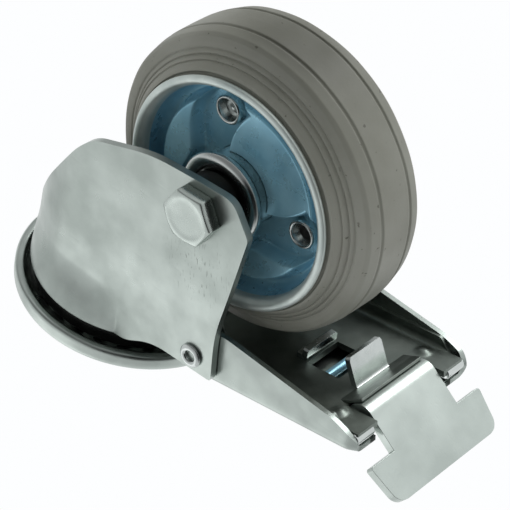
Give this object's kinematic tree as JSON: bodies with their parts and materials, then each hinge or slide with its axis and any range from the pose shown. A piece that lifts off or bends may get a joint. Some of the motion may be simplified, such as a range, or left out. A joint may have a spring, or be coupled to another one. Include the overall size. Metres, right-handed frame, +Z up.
{
  "type": "swivel caster wheel",
  "caption": "Swivel caster with a through-bolt head, grey rubber wheel on a pressed steel rim, and a foot brake that locks the wheel and the swivel.",
  "frame": {"origin": "centre of the head's flat mounting face, on the swivel axis", "axes": "+Z up along the swivel axis, out of the mounting face; the wheel and brake trail towards -X; the wheel's axle is along Y with the bolt head on -Y"},
  "size_m": [0.1367, 0.0686, 0.1027],
  "materials": {
    "zinc_plate": "satin zinc plate",
    "steel_parts": "bright zinc plate",
    "bright_steel": "polished",
    "rim_zinc": "blue zinc plate",
    "tyre_rubber": "matte grey rubber",
    "plate_steel": "dull zinc plate",
    "shield_steel": "bright zinc plate",
    "cage_plastic": "matte"
  },
  "bodies": {
    "head": {"head_cap": "zinc_plate", "king_sleeve": "steel_parts", "lock_race": "steel_parts"},
    "upper_ball_row": {"upper_balls": "bright_steel"},
    "lower_ball_row": {"lower_balls": "bright_steel"},
    "fork_body": {"fork": "zinc_plate", "pivot_rivets": "steel_parts", "axle_bolt": "steel_parts", "nut_washer": "steel_parts", "axle_nut": "steel_parts", "axle_tube": "steel_parts", "spacer_near": "steel_parts", "spacer_far": "steel_parts"},
    "wheel": {"tyre": "tyre_rubber", "rim_near": "rim_zinc", "rim_far": "rim_zinc", "rim_rivets": "steel_parts", "hub_tube": "steel_parts", "seal_near": "shield_steel", "seal_far": "shield_steel"},
    "bearing": {"rollers": "bright_steel", "roller_cage": "cage_plastic"},
    "brake_lever": {"brake_channel": "zinc_plate", "brake_plate": "plate_steel", "brake_spring": "steel_parts", "pedal_pin": "steel_parts"},
    "brake_pedal": {"pedal": "zinc_plate"}
  },
  "joints": [
    {"name": "swivel", "type": "hinge", "parent": "head", "child": "fork_body", "pos_m": [0, 0, 0], "axis": [0, 0, 1], "continuous": true},
    {"name": "upper_balls_orbit", "type": "hinge", "parent": "head", "child": "upper_ball_row", "pos_m": [0, 0, 0], "axis": [0, 0, 1], "continuous": true},
    {"name": "lower_balls_orbit", "type": "hinge", "parent": "head", "child": "lower_ball_row", "pos_m": [0, 0, 0], "axis": [0, 0, 1], "continuous": true},
    {"name": "wheel_spin", "type": "hinge", "parent": "fork_body", "child": "wheel", "pos_m": [-0.0322, 0, -0.0627], "axis": [0, 1, 0], "continuous": true},
    {"name": "rollers_orbit", "type": "hinge", "parent": "fork_body", "child": "bearing", "pos_m": [-0.0322, 0, -0.0627], "axis": [0, 1, 0], "continuous": true},
    {"name": "brake_swing", "type": "hinge", "parent": "fork_body", "child": "brake_lever", "pos_m": [-0.0397, 0, -0.0209], "axis": [0, -1, 0], "range_deg": [0, 11.5]},
    {"name": "pedal_tilt", "type": "hinge", "parent": "brake_lever", "child": "brake_pedal", "pos_m": [-0.0834, 0, -0.026], "axis": [0, -1, 0], "range_deg": [0, 20]}
  ],
  "couplings": [
    {"joint": "upper_balls_orbit", "follows": "swivel", "ratio": 0.5},
    {"joint": "lower_balls_orbit", "follows": "swivel", "ratio": 0.5},
    {"joint": "rollers_orbit", "follows": "wheel_spin", "ratio": 0.586},
    {"joint": "pedal_tilt", "follows": "brake_swing", "ratio": 1.73}
  ]
}
